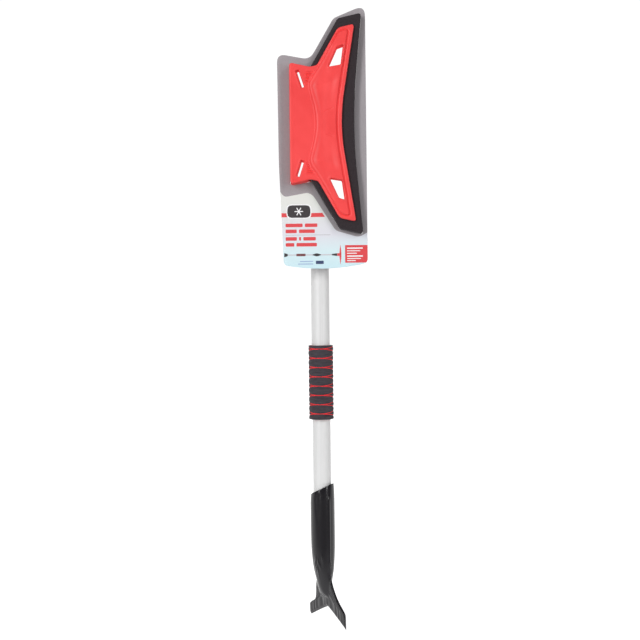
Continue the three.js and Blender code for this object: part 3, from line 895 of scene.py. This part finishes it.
def make_neck():
    """The tapered socket, its fork and the wells for the pin's head and the button."""
    low = box_mm("neck_socket")[0]
    inner = box_mm("inner_tube")[1]
    steps = 96
    angle = full_turn(steps)
    # Height, half width, half depth and squareness
    table = np.array([(low[2], 13.4, 13.4, 2), (low[2] + 26, 14.6, 14.4, 2), (HINGE_Z - 40, 16.6, 15, 2.3),
                      (HINGE_Z - 22, EAR_OUTER, 15.4, 3.2), (HINGE_Z, EAR_OUTER, 15.4, 5)], float)
    rows = []
    for z in np.linspace(low[2], HINGE_Z, 48):
        half_x, half_y, square = curves_at(table, z)
        inset = 1.2 * (1 - math.sqrt(1 - (1 - min(1, (z - low[2]) / 1.2)) ** 2))
        x, y = (np.sign(side) * np.abs(side) ** (2 / square) for side in (np.cos(angle), np.sin(angle)))
        rows.append(np.stack([(half_x - inset) * x, (half_y - inset) * y, np.full(steps, z)], axis=1))
    faces = grid_faces(len(rows), steps)
    faces.append(list(range(steps))[::-1])
    faces.append(list(range((len(rows) - 1) * steps, len(rows) * steps)))
    neck = loose(np.concatenate(rows), faces)
    boss = turned_tool(rod_corners(EAR_RADIUS, -EAR_OUTER, EAR_OUTER, 1.0), 96, along_hinge)
    boolean(neck, boss, "UNION")
    slot = [(-30, -17.6, 0), (30, -17.6, 0), (30, 30, 0), (-30, 30, 0)]
    cut, cut_faces, _ = slab_mesh(rounded(slot, 20), [], flat(EAR_INNER), flat(-EAR_INNER), hinge_axes,
                                  (0.05, 0.05), 20)
    boolean(neck, loose(cut, cut_faces), "DIFFERENCE")
    for corners, steps, place in ((rod_corners(inner[0] + 0.2, low[2] - 2, inner[2] + 0.3), 96, None),
                                  (rod_corners(PIN_HOLE, -30, 30), 48, along_hinge),
                                  (rod_corners(PIN_HEAD_WELL, -30, -EAR_OUTER + 2.5), 64, along_hinge),
                                  (rod_corners(BUTTON_WELL, 13, 30), 64, along_hinge)):
        boolean(neck, turned_tool(corners, steps, place), "DIFFERENCE")
    neck.name = neck.data.name = "neck"
    neck.data.materials.clear()
    neck.data.materials.append(BLACK)
    tidy(neck, 30)
    stand_for(neck, "inner_pole", "neck_socket")


def make_hinge_fittings():
    """The hinge's pin, and the button with its collar at the other end."""
    low, high = box_mm("pivot_pin")
    left, right = low[0], high[0]
    section = [(0, left, 0), (4.6, left, 1.4), (6, left + 0.9, 0.6), (6, left + 2.2, 0.2),
               (3.5, left + 2.2, 0.1), (3.5, right, 0.5), (0, right, 0)]
    turned("hinge_pin", section, [STEEL], "inner_pole", "pivot_pin", steps=64, place=along_hinge)
    low, high = box_mm("button_ring")
    inner, outer = 7.9, high[1]
    section = [(inner, low[0], 0.1), (outer, low[0], 0.1), (outer, high[0], 0.2), (inner, high[0], 0.35)]
    turned("button_collar", section, [BLACK], "inner_pole", "button_ring", place=along_hinge)
    low, high = box_mm("pivot_button")
    foot, face, flange, stem = low[0], high[0], high[1], 7.6
    section = [(6.3, foot, 0.1), (flange, foot, 0.1), (flange, foot + 0.7, 0.1), (stem, foot + 0.7, 0.1),
               (stem, face, 1.0), (6.0, face, 0.8), (3.0, face - 0.9, 1.5), (0, face - 1.0, 0),
               (0, face - 1.9, 0), (6.3, face - 1.9, 0.3)]
    turned("hinge_button", section, [RED], "pivot_button", "pivot_button", place=along_hinge)


def make_rivets():
    for name, node, body in (("scraper_fixing", "scraper_rivet", "pole_handle"),
                             ("neck_fixing", "neck_rivet", "inner_pole")):
        low, high = box_mm(node)
        top, radius = high[1], high[0]

        def facing_back(points, height=(low[2] + high[2]) / 2):
            return np.stack([points[:, 0], points[:, 2], points[:, 1] + height], axis=1)

        section = [(0, low[1], 0), (1.6, low[1], 0.3), (1.6, top - 1.5, 0.1), (radius, top - 1.5, 0.2),
                   (radius * 0.85, top - 0.35, 0.9), (1.3, top, 0.4), (1.0, top - 0.6, 0.2),
                   (0, top - 0.6, 0)]
        turned(name, section, [STEEL], body, node, steps=48, place=facing_back)


# ---- head

PLATE = [(31.6, 0, 49), (55.6, 148.6, 6), (30.6, 142.9, 6), (-1.2, 87, 3), (-12, 84.6, 3), (-43, 91.5, 6)]
FOAM = [(54.3, 0, 0), (54.9, 42, 18), (66.2, 166.8, 6), (30.6, 158.4, 3), (-13.9, 80.7, 1)]
ENVELOPE = [*FOAM[:4], (-11.2, 85.6, 2), (-43, 91.5, 6)]
RELIEF = [(23.2, 0, 47), (45.6, 139.5, 5), (32.4, 136.4, 5), (4, 87.5, 3), (-14.4, 59, 9), (0, 0, 30)]
WINDOW = [(38, 115.4, 1.5), (30, 112.6, 1.5), (17.2, 84.8, 1.5), (34.2, 87.6, 1.5)]
SLOT_ENDS = ((-30.2, 78.6), (-22.8, 55.4))
SLOT_WIDTH = 3.8
SHOWN_SLOTS = (((-29.3, 75.6), (-22.8, 55.6)), ((-24.4, -60.4), (-30.2, -78.4)))
SHOWN_WIDTH = 3.0
FLARE = 4  # how much larger the openings are in the back plate, all round
SPINE = [(-15.6, -83.6, 1), (-15.6, 83.6, 1), (-42.6, 90, 4), (-42.6, -90, 4)]
WALL = 2
SHELL = 4
RELIEF_RISE = 3.4
SCREWS = [(-30, 28), (18, 48), (40.5, 131), (-30, -28), (18, -48), (40.5, -131)]

FOAM_LOW, FOAM_HIGH = box_mm("foam_blade")
RELIEF_FACE = -box_mm("front_plate")[0][1]
FRONT_FACE = RELIEF_FACE - RELIEF_RISE
PLATE_SEAT = FRONT_FACE - SHELL
BACK_INNER = -FOAM_HIGH[1] - 0.3
BACK_FACE = BACK_INNER - SHELL


def both(loop):
    """A loop above the hinge and its mirror image below."""
    return [loop, (loop * np.array([1, -1]))[::-1]]


def slot_outline(ends, left, right, above, below, cut=0.5, spacing=0.6, curve_steps=3):
    """A slanted slot's outline, from the upper end to the lower, with margins from its middle line."""
    top, bottom = np.array(ends, float)
    along = (top - bottom) / np.linalg.norm(top - bottom)
    across = np.array([along[1], -along[0]])
    top, bottom = top + along * above, bottom - along * below
    corners = [top - across * left, bottom - across * left, bottom + across * right, top + across * right]
    return rounded([(*corner, cut) for corner in corners], spacing, curve_steps)


def shown_slots(*margins):
    """Outlines of both shown slots with margins (left, right, above, below)."""
    reach = [SHOWN_WIDTH / 2 + margin for margin in margins]
    return [slot_outline(ends, *reach) for ends in SHOWN_SLOTS]


WINDOWS = both(rounded(WINDOW, 1.0))
SLOTS_CUT = shown_slots(0, 0, 0, 0)
RECESSES = shown_slots(2.1, 0.5, 2.4, 0.5)
RECESS_TOPS = shown_slots(2.4, 0.8, 2.7, 0.8)
FLARED_WINDOW = [(x, z, FLARE) for x, z, _ in grown(WINDOW, FLARE)]
WIDE = SLOT_WIDTH / 2 + FLARE
FLARED_SLOT = slot_outline(SLOT_ENDS, WIDE, WIDE, WIDE, WIDE, cut=0.8 * WIDE, spacing=1.2, curve_steps=8)
FLARED_HOLES = both(rounded(FLARED_WINDOW, 1.2)) + both(FLARED_SLOT)
RELIEF_LOOP = rounded(mirrored(RELIEF), 1.3)
RELIEF_LINES = [offset(RELIEF_LOOP, step) for step in (-2.5, -1.7, -1.0, -0.4, 0.3, 1.0)]
CREASES = (((9.5, 16.4), (21.8, 21.8)), ((12.5, -17.4), (21.5, -20.4)))
FINGER_PITCH = 3.2
RECESS_DEPTH = 3.0
SHOULDER_DEPTH = 2.4


def front_relief(points):
    """Heights of the red plate's face: a rim, a channel, and a raised waisted field with ribs."""
    x, z = points.T
    up = np.abs(z)
    depth = distance(points, RELIEF_LOOP) * np.where(inside(points, RELIEF_LOOP), 1, -1)
    right = smooth((x - 1 - 0.09 * up) / 14)
    height = FRONT_FACE + (1.4 + 0.8 * right) * smooth((depth + 0.8) / (3 - 1.1 * right))
    height -= 1.3 * right * ridge(depth, -1.6, 1.0) + 0.6 * (1 - right) * ridge(depth, -1.0, 0.7)
    # The field's inner side is a broad rounded band.
    height += 0.8 * (1 - right) * ridge(depth, 4.8, 3.4)
    # The field falls to a sharp valley past the waist and rises again towards each window.
    valley = up - (56 + 0.27 * x)
    fall = np.where(valley < 0, np.clip(1 + valley / 48, 0, 1), np.clip(1 - valley / 13, 0, 1))
    height -= 1.9 * fall * smooth((depth - 1) / 12)
    # Moulded creases cross the waist.
    for crease in CREASES:
        height -= 0.7 * ridge(distance(points, np.array(crease), closed=False), 0, 0.9)
    # Finger ridges lie between the slot and the notch.
    patch = smooth((x + 21) / 4) * smooth((up - 55) / 4) * smooth((80 - up) / 4) * smooth((-2 - depth) / 2)
    patch *= smooth(-x / 4)
    height += 0.8 * np.sin(up * 2 * np.pi / FINGER_PITCH) * patch
    # The pad's edge has a raised border, and the long faces swell softly.
    height += 0.35 * smooth((-36.5 - x) / 2.5) + 0.3 * (1 - (up / 150) ** 2) - 0.2
    # Each window has a sunk shoulder inside a lip.
    for loop in WINDOWS:
        near = distance(points, loop)
        height += 0.5 * ridge(near, 3.1, 1.1) - SHOULDER_DEPTH * (1 - smooth((near - 1.1) / 0.5))
    # Each slot lies in a steep recess, which is wider to the left of it and above it.
    for recess in RECESSES:
        near = distance(points, recess)
        sunk = inside(points, recess) | (near < 0.02)
        height += np.where(sunk, -RECESS_DEPTH, 0.35 * ridge(near, 1.2, 0.9))
    return np.minimum(height, RELIEF_FACE + 0.3)


def make_front_plate():
    outer = rounded(mirrored(PLATE), 1.2)
    patch = np.array([(x, z) for z in np.arange(54, 82, 0.7) for x in np.arange(-21, -4, 1.1)])
    patch = np.concatenate([patch, patch * np.array([1, -1])])
    lines = RECESSES + RECESS_TOPS + RELIEF_LINES
    vertices, faces, middles = slab_mesh(outer, WINDOWS + SLOTS_CUT, front_relief, flat(PLATE_SEAT),
                                         head_axes, (1.7, 0.4), 1.15, lines=lines, extra=patch)
    piece("front_shell", vertices, faces, [RED, RED_SIDES], "head", "front_plate",
          groups=wall_groups(faces, middles), sharp=45)


def back_inner_face(points):
    """The back plate's inner side: flat, with walls round the openings and along the spine."""
    near = nearest(points, FLARED_HOLES)
    spine = rounded(SPINE, 2)
    pocket = inside(points, spine) & (distance(points, spine) > WALL + 0.02)
    spine_wall = (points[:, 0] < SPINE[0][0] + 0.02) & ~pocket
    return np.where((near < WALL + 0.02) | spine_wall, PLATE_SEAT - 0.3, BACK_INNER)


def back_outer_face(points):
    """The back plate's outer side: a rim and ribs, with shallow pockets between them."""
    x, z = points.T
    rim = distance(points, rounded(mirrored(PLATE), 1.5))
    near = nearest(points, FLARED_HOLES)
    cover = smooth((rim - 4) / 1.2) * smooth((near - 3) / 1.2)
    cover *= smooth((np.hypot(x, z) - 25) / 1.5)
    for place in SCREWS:
        cover *= smooth((np.hypot(x - place[0], z - place[1]) - 6) / 1.2)
    up = np.abs(z)
    for rib in (x + 8, x - 18 - 0.13 * up, (up - 34) * 0.97 + 0.2 * x, (up - 66) * 0.97 + 0.3 * x,
                (up - 112) * 0.97 - 0.2 * x):
        cover *= smooth((np.abs(rib) - 1.2) / 1.0)
    return BACK_FACE + 1.5 * cover


def knuckle_outline():
    """The knuckle's side view, (backwards, up): a round barrel on a foot that spreads into the plate."""
    reach = BACK_FACE + 1
    return mirrored([(-reach, 17, 0), (-reach + 2.5, 17, 3), (-11, 11.5, 5), (0, 14, 8), (14, 14, 11)])


def make_back_plate():
    outer = rounded(mirrored(PLATE), 1.4)
    spine = [rounded(SPINE, 2.0), rounded(grown(SPINE, -WALL), 2.0)]
    lines = [*spine, rounded(grown(SPINE, -WALL - 0.06), 2.0)]
    vertices, faces, middles = slab_mesh(outer, FLARED_HOLES, back_inner_face, back_outer_face, head_axes,
                                         (0.5, 1.2), 1.5, rings=(WALL, WALL + 0.06), lines=lines)
    plate = piece("back_shell", vertices, faces, [RED, RED_SIDES], "head", "back_plate",
                  groups=wall_groups(faces, middles), sharp=40)
    turns = np.linspace(0, 2 * math.pi, 13)[:-1]
    bore = rounded([(PIN_HOLE * math.cos(turn), PIN_HOLE * math.sin(turn), 1) for turn in turns], 1)
    side, side_faces, _ = slab_mesh(rounded(knuckle_outline(), 1.5), [bore], flat(KNUCKLE_HALF),
                                    flat(-KNUCKLE_HALF), hinge_axes, (0.8, 0.8), 3.0)
    boolean(plate, loose(side, side_faces), "UNION")
    tidy(plate, 40)
    while len(plate.data.materials) > 2:
        plate.data.materials.pop()


def make_foam_blade():
    outer = rounded(mirrored(FOAM), 2.0)
    holes = both(rounded(grown(FLARED_WINDOW, WALL + 0.3), 1.5))

    def face(level, sign):
        def height(points):
            x, z = points.T
            return level + sign * 0.25 * np.sin(x / 9.0 + z / 23.0) * np.sin(z / 14.0)
        return height

    vertices, faces, _ = slab_mesh(outer, holes, face(-FOAM_LOW[1], 1), face(-FOAM_HIGH[1], -1), head_axes,
                                   (2.4, 1.2), 2.4, wall_rows=4)
    blade = piece("foam_edge", vertices, faces, [BLADE_FOAM], "head", "foam_blade", sharp=60)


def make_head_screws():
    """Pan-head screws with a cross recess, in from the back."""
    low, high = box_mm("head_screw_1")
    seat = high[1]
    under = seat - 2.2
    radius = (high[0] - low[0]) / 2
    section = [(0, -seat, 0), (radius * 0.8, -seat, 1.2), (radius, -seat + 1.6, 0.4), (radius, -under, 0.1),
               (1.75, -under, 0.1), (1.75, -low[1] - 2, 0.2), (0, -low[1], 0)]
    head = turned_tool(section, 40)
    for length, width in ((4.2, 0.9), (0.9, 4.2)):
        corners = bar(-length / 2, 0, length, width, 0.1)
        cross, cross_faces, _ = slab_mesh(rounded(corners, 1), [], flat(-seat + 1.3), flat(-seat - 1),
                                          lambda u, v, w: np.stack([u, v, w], axis=1), (0.05, 0.05), 2)
        boolean(head, loose(cross, cross_faces), "DIFFERENCE")
    model = np.array([tuple(v.co) for v in head.data.vertices]) / MM
    faces = [tuple(p.vertices) for p in head.data.polygons]
    bpy.data.objects.remove(head)
    for i, (x, z) in enumerate(SCREWS):
        points = np.stack([model[:, 0] + x, -model[:, 2], model[:, 1] + z + HINGE_Z], axis=1)
        piece(f"plate_screw_{i + 1}", points, faces, [STEEL], "head", f"head_screw_{i + 1}", sharp=30)


# ---- retail card

CARD = [(72.8, 182, 18), (24.5, 162, 5), (-12, 99.6, 12), (-61.8, 109, 14), (-60.6, -60, 20),
        (-54.6, -212.5, 7), (8, -223, 56), (72.8, -210, 7)]
CARD_FIT = 0.3


def card_marks():
    """Printed marks as (ink, corners): plain bars where the card has wording, and a small drawing."""
    pole = -197
    marks = [
        ("label", [(-70, -98, 0), (-61, -98, 3), (-53, -109, 5), (-17, -102.5, 4), (-9, -107, 4),
                   (24.5, -160.5, 5), (60, -171, 6), (74, -163, 3), (80, -163, 0), (80, -240, 0),
                   (-70, -240, 0)]),
        ("red", [(-57.6, -133.4, 0.2), (4.6, -133.4, 0.2), (8.6, -139.6, 0.2), (-57.4, -139.6, 0.2)]),
        ("white", bar(-50, -131, 38, 22, 8)),
        ("dark", bar(-48.5, -131, 35, 19, 7)),
        ("grey", bar(-51.5, -166.8, 68, 0.5, 0.1)),
        ("steel", bar(-50, pole, 76, 2.0, 0.2)),
        ("dark", taper(-54, pole, 5.5, 3.2, 1.6, 0.4)),
        ("maroon", bar(-35.5, pole, 14, 3.8, 0.8)),
        ("dark", [(-12, pole, 2), (-4.5, pole - 2.8, 3), (3, pole, 2), (-4.5, pole + 2.8, 3)]),
        ("dark", taper(18.5, pole, 8, 1, 2.2, 0.3)),
        ("red", bar(26.7, pole, 4.6, 4.2, 0.6)),
        ("red", [(31.4, pole - 15.5, 1), (33.6, pole, 9), (31.4, pole + 15.5, 1), (29.4, pole, 9)]),
        ("blue", bar(-6, -208.5, 12, 5, 1)),
        ("pale_blue", bar(-30, -207, 20, 1.6, 0.3)),
        ("pale_blue", bar(-33, -210.8, 23, 1.6, 0.3)),
        ("red", [(38.5, -209.5, 1.2), (90, -209.5, 0), (90, -182.8, 0), (38.5, -182.8, 1.2)]),
    ]
    # A star of three crossed bars on the dark tab
    centre = np.array([-31, -131])
    for turn in np.radians((0, 60, 120)):
        along = np.array([math.cos(turn), math.sin(turn)])
        across = np.array([-along[1], along[0]])
        arm = [centre + along * a * 6.5 + across * b * 0.7 for a, b in ((-1, -1), (1, -1), (1, 1), (-1, 1))]
        marks.append(("white", [(*corner, 0.3) for corner in arm]))
    for z, words in ((-152, (26, 19)), (-161, (17, 24)), (-172.5, (17, 3, 19)), (-181.5, (13, 31))):
        x = -51.5
        for width in words:
            marks.append(("red", bar(x, z, width, 5.4)))
            x += width + 3.4
    for z, width in ((-187.5, 24), (-191.5, 20), (-195.2, 15), (-199.5, 24), (-203.2, 21), (-206.4, 13)):
        marks.append(("white", bar(41.5, z, width, 2.0 if width == 24 else 1.3, 0.3)))
    return marks


INKS = {
    "red": ((0.66, 0.05, 0.06), (0.76, 0.07, 0.08)),
    "white": ((0.82, 0.82, 0.84), (0.9, 0.9, 0.91)),
    "dark": ((0.03, 0.025, 0.028), (0.05, 0.042, 0.046)),
    "steel": ((0.52, 0.52, 0.56), (0.62, 0.62, 0.66)),
    "maroon": ((0.14, 0.04, 0.045), (0.2, 0.06, 0.065)),
    "blue": ((0.03, 0.05, 0.12), (0.05, 0.07, 0.17)),
    "pale_blue": ((0.3, 0.42, 0.62), (0.38, 0.5, 0.7)),
}


def make_card():
    low, high = box_mm("retail_card")
    inks = {"grey": print_on_card("card_grey", (0.29, 0.265, 0.28), (0.35, 0.32, 0.34)),
            "label": label_print()}
    for ink, tones in INKS.items():
        inks[ink] = print_on_card(f"card_{ink}", *tones)
    names = list(inks)
    window = rounded(grown(mirrored(ENVELOPE), CARD_FIT), 2.5)
    marks = [(names.index(ink), rounded(corners, 3.0, 3)) for ink, corners in card_marks()]
    vertices, faces, middles = slab_mesh(rounded(CARD, 2.5), [window], flat(-low[1]), flat(-high[1]),
                                         head_axes, (0.2, 0.2), 6.0, lines=[loop for _, loop in marks],
                                         wall_rows=1)
    groups = np.zeros(len(faces), int)
    for ink, loop in marks:
        groups[: len(middles)][inside(middles, loop)] = ink
    piece("hang_card", vertices, faces, list(inks.values()), "card", "retail_card", groups=groups)


# ---- assembly


def finish_cad_nodes():
    """Materials for the inner pieces that keep their CAD shape."""
    for node, material in (("guide_bush", GREY), ("collet", GREY), ("glide_bush", GREY),
                           ("pin_retainer", STEEL), ("button_spring", STEEL)):
        obj = frame["nodes"][node]
        obj.data.materials.clear()
        obj.data.materials.append(material)


make_camera()
make_studio()
make_tubes()
make_grip()
make_scraper()
make_lock()
make_neck()
make_hinge_fittings()
make_rivets()
make_front_plate()
make_back_plate()
make_foam_blade()
make_head_screws()
make_card()
finish_cad_nodes()
